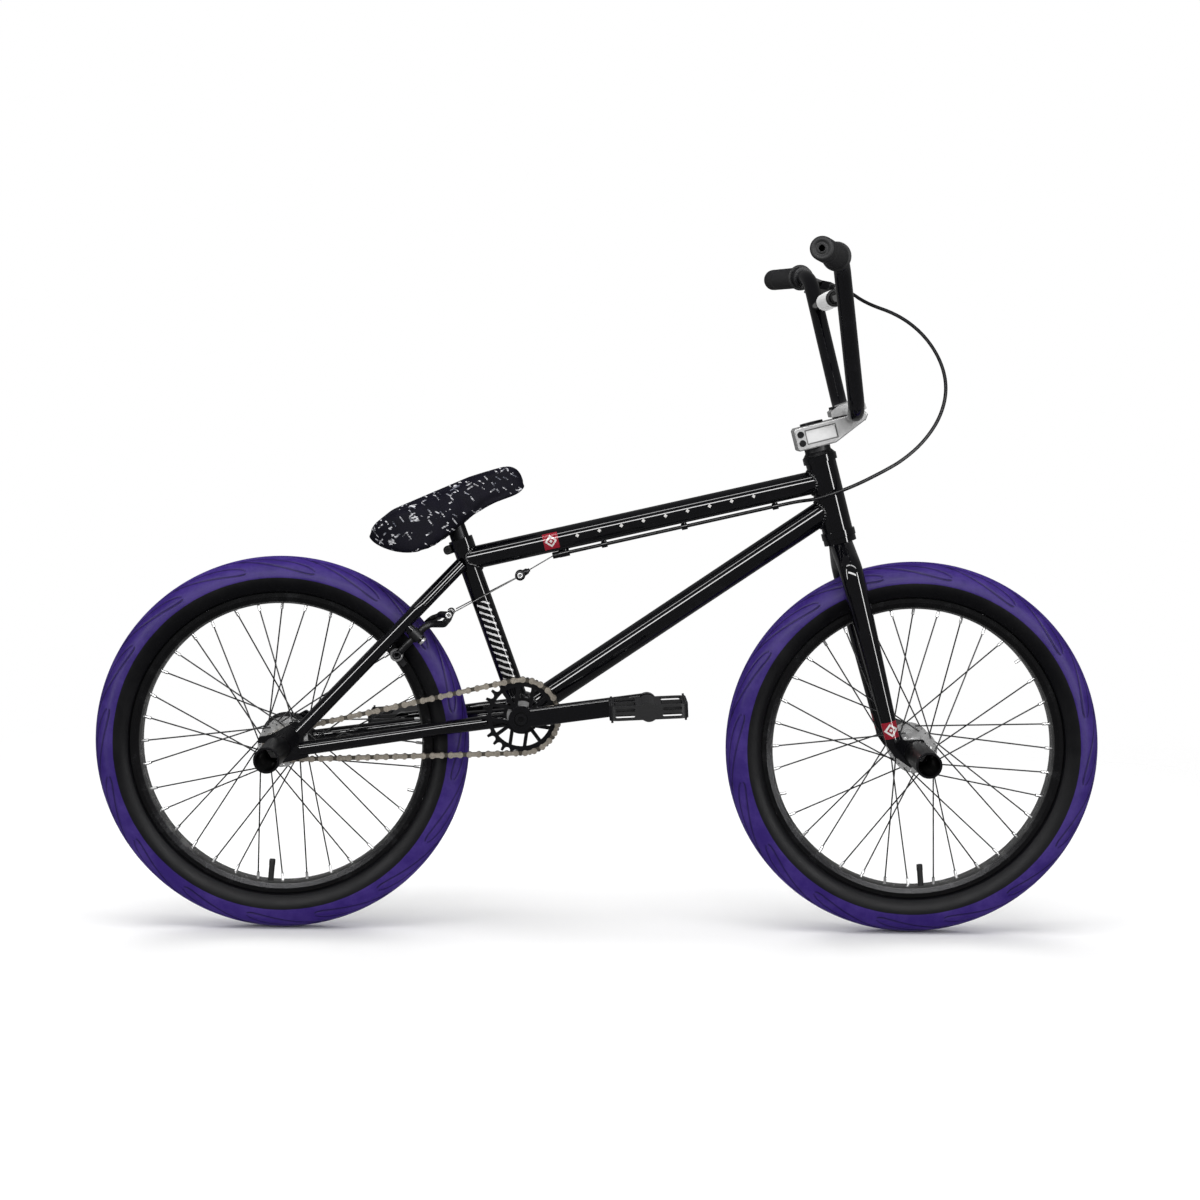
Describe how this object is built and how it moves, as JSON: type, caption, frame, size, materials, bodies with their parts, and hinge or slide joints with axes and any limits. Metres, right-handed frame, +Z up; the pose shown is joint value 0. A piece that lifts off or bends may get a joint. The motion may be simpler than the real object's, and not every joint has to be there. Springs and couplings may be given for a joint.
{
  "type": "bmx bike",
  "caption": "Freestyle BMX bike with high bars, axle pegs, a pivotal seat, single-speed chain drive and a rear U-brake.",
  "frame": {"origin": "on the ground, midway between the hubs, in the bike's middle plane", "axes": "+X forwards, +Y to the rider's left, +Z up"},
  "size_m": [1.3912, 0.7374, 0.9377],
  "materials": {
    "gloss_black_paint": "high-gloss black enamel",
    "black_metal": "black electrophoretic coating",
    "purple_tyre": "matte moulded rubber, purple tread and black sidewalls",
    "black_rubber": "moulded rubber",
    "black_rim": "satin black anodised",
    "black_spoke": "black steel with nickel nipples",
    "polished_alloy": "polished",
    "raw_alloy": "fine machined and tumbled",
    "steel": "bright zinc",
    "chain_steel": "aged nickel plate",
    "black_plastic": "moulded nylon",
    "seat_fabric": "printed woven fabric",
    "cable_black": "smooth outer casing",
    "wire": "stranded steel"
  },
  "bodies": {
    "frame": {"head_tube": "gloss_black_paint", "headset_bearings": "steel", "top_tube": "gloss_black_paint", "down_tube": "gloss_black_paint", "seat_tube": "gloss_black_paint", "seat_clamp": "gloss_black_paint", "seat_clamp_bolt": "black_metal", "bb_shell": "gloss_black_paint", "bb_bearings": "steel", "chainstays": "gloss_black_paint", "seatstays": "gloss_black_paint", "dropouts": "gloss_black_paint", "brake_bosses": "gloss_black_paint", "cable_guides": "gloss_black_paint", "brake_housing": "cable_black", "chain": "chain_steel", "rear_axle": "steel", "rear_axle_nuts": "steel", "rear_pegs": "gloss_black_paint", "hub_guard": "black_plastic", "straddle_cable": "wire"},
    "fork": {"steerer_tube": "gloss_black_paint", "fork_legs": "gloss_black_paint", "fork_dropouts": "gloss_black_paint", "headset_spacer": "black_metal", "stem": "raw_alloy", "stem_cap": "raw_alloy", "stem_bolts": "black_metal", "stem_top_cap": "black_metal", "handlebar": "gloss_black_paint", "handlebar_crossbar": "gloss_black_paint", "grips": "black_rubber", "lever_clamp": "black_metal", "front_axle": "steel", "front_axle_nuts": "steel", "front_pegs": "gloss_black_paint", "brake_cable_loop": "cable_black"},
    "lever": {"brake_lever": "black_metal"},
    "front_wheel": {"front_hub": "polished_alloy", "front_rim": "black_rim", "front_spokes": "black_spoke", "front_tyre": "purple_tyre", "front_inner_tube": "black_rubber"},
    "rear_wheel": {"rear_hub": "polished_alloy", "rear_rim": "black_rim", "rear_spokes": "black_spoke", "rear_tyre": "purple_tyre", "rear_inner_tube": "black_rubber"},
    "driver": {"driver_cog": "black_metal"},
    "crankset": {"crank_spindle": "black_metal", "crank_arm_right": "black_metal", "crank_arm_left": "black_metal", "sprocket": "black_metal", "pedal_spindles": "steel"},
    "pedal_right": {"pedal_right": "black_plastic"},
    "pedal_left": {"pedal_left": "black_plastic"},
    "seat_post": {"seat_post": "black_metal"},
    "saddle": {"saddle": "seat_fabric"},
    "brake_arm_right": {"brake_arm_right": "black_metal"},
    "brake_arm_left": {"brake_arm_left": "black_metal"}
  },
  "joints": [
    {"name": "steering", "type": "hinge", "parent": "frame", "child": "fork", "pos_m": [0.31585, 0, 0.60667], "axis": [-0.2554, 0, 0.9668], "range_deg": [-75, 75], "deforming": ["brake_cable_loop"]},
    {"name": "front_wheel_spin", "type": "hinge", "parent": "fork", "child": "front_wheel", "pos_m": [0.43667, 0, 0.259], "axis": [0, 1, 0], "continuous": true},
    {"name": "rear_wheel_spin", "type": "hinge", "parent": "frame", "child": "rear_wheel", "pos_m": [-0.43667, 0, 0.259], "axis": [0, 1, 0], "continuous": true},
    {"name": "crank_spin", "type": "hinge", "parent": "frame", "child": "crankset", "pos_m": [-0.10463, 0, 0.3034], "axis": [0, 1, 0], "continuous": true, "deforming": ["chain"]},
    {"name": "driver_spin", "type": "hinge", "parent": "frame", "child": "driver", "pos_m": [-0.43667, 0, 0.259], "axis": [0, 1, 0], "continuous": true},
    {"name": "pedal_right_spin", "type": "hinge", "parent": "crankset", "child": "pedal_right", "pos_m": [0.06569, -0.13, 0.32734], "axis": [0, 1, 0], "continuous": true},
    {"name": "pedal_left_spin", "type": "hinge", "parent": "crankset", "child": "pedal_left", "pos_m": [-0.27496, 0.13, 0.27946], "axis": [0, 1, 0], "continuous": true},
    {"name": "seat_height", "type": "slide", "parent": "frame", "child": "seat_post", "axis": [-0.342, 0, 0.9397], "range_m": [0, 0.06]},
    {"name": "saddle_tilt", "type": "hinge", "parent": "seat_post", "child": "saddle", "pos_m": [-0.20382, 0, 0.57591], "axis": [0, 1, 0], "range_deg": [-8, 8]},
    {"name": "brake_lever_pull", "type": "hinge", "parent": "fork", "child": "lever", "pos_m": [0.32589, 0.24919, 0.90625], "axis": [0.36, 0.0755, 0.9299], "range_deg": [0, 12], "stiffness_Nm_per_rad": 0.6, "springref_deg": -20.05},
    {"name": "brake_arm_right_swing", "type": "hinge", "parent": "frame", "child": "brake_arm_right", "pos_m": [-0.25011, -0.0405, 0.41393], "axis": [0.7238, 0, -0.69], "range_deg": [0, 2.01]},
    {"name": "brake_arm_left_swing", "type": "hinge", "parent": "frame", "child": "brake_arm_left", "pos_m": [-0.25011, 0.0405, 0.41393], "axis": [-0.7238, 0, 0.69], "range_deg": [0, 2.01], "deforming": ["straddle_cable"]}
  ],
  "couplings": [
    {"joint": "driver_spin", "follows": "crank_spin", "ratio": 2.7778},
    {"joint": "brake_arm_right_swing", "follows": "brake_lever_pull", "ratio": 0.16667},
    {"joint": "brake_arm_left_swing", "follows": "brake_lever_pull", "ratio": 0.16667}
  ]
}
